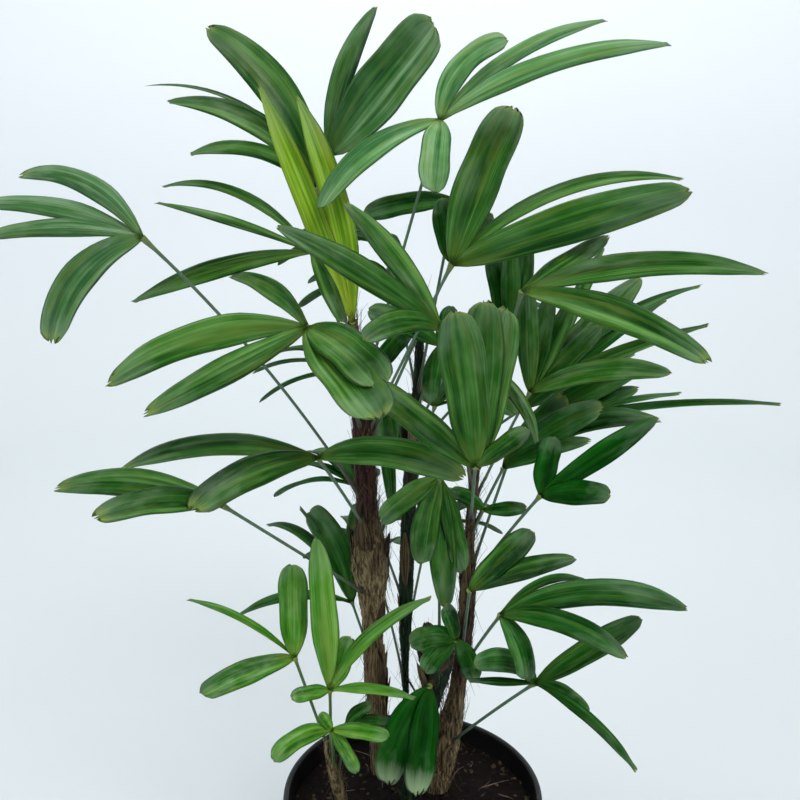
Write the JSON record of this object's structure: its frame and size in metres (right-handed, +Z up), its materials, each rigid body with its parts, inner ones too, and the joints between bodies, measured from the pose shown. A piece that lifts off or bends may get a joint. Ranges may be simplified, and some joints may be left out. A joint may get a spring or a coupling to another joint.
{
  "type": "potted lady palm",
  "caption": "Lady palm in a round black nursery pot: a clump of fibrous canes with hand-shaped fronds of pleated leaflets on thin stalks.",
  "frame": {"origin": "centre of the pot's flat underside", "axes": "+Z up along the pot's axis, -Y towards the side that the clump is seen from, +X to the right as seen from there"},
  "size_m": [0.7762, 0.5167, 0.9989],
  "materials": {
    "pot": "satin",
    "soil": "matte",
    "cane": "matte",
    "leaf": "satin",
    "leaf_bright": "satin",
    "leaf_lime": "satin"
  },
  "bodies": {
    "root": {"pot": "pot", "left_cane": "cane", "right_cane": "cane", "middle_cane": "cane", "back_cane": "cane", "shoot_cane": "cane", "soil": "soil", "frond_far_side_1": "leaf", "frond_far_side_2": "leaf", "frond_far_side_3": "leaf", "frond_far_side_4": "leaf", "frond_far_side_5": "leaf", "frond_far_side_6": "leaf", "frond_far_side_7": "leaf", "frond_far_side_8": "leaf", "frond_far_side_9": "leaf", "frond_far_left": "leaf", "frond_upper_left": "leaf", "frond_top_centre": "leaf", "frond_spear": "leaf_lime", "frond_left_group": "leaf", "frond_left_middle": "leaf", "frond_mid_left": "leaf", "frond_lower_left": "leaf", "frond_dark_left": "leaf", "frond_shoot_high": "leaf_bright", "frond_shoot_middle": "leaf_bright", "frond_shoot_low": "leaf_bright", "frond_shoot_shade": "leaf", "frond_top_right": "leaf", "frond_right_high": "leaf", "frond_right_shade": "leaf", "frond_behind_top": "leaf", "frond_behind_right": "leaf", "frond_centre_reach": "leaf", "frond_behind_middle": "leaf", "frond_inner_left": "leaf", "frond_arch_right": "leaf", "frond_right_reach": "leaf", "frond_right_fan": "leaf", "frond_right_back": "leaf", "frond_right_middle": "leaf", "frond_right_dark": "leaf", "frond_centre": "leaf", "frond_small_reach": "leaf", "frond_low_right": "leaf", "frond_low_middle": "leaf", "frond_low_reach": "leaf", "frond_low_far": "leaf", "frond_inner_low": "leaf", "frond_inner_base": "leaf", "frond_hanging": "leaf"}
  },
  "joints": []
}
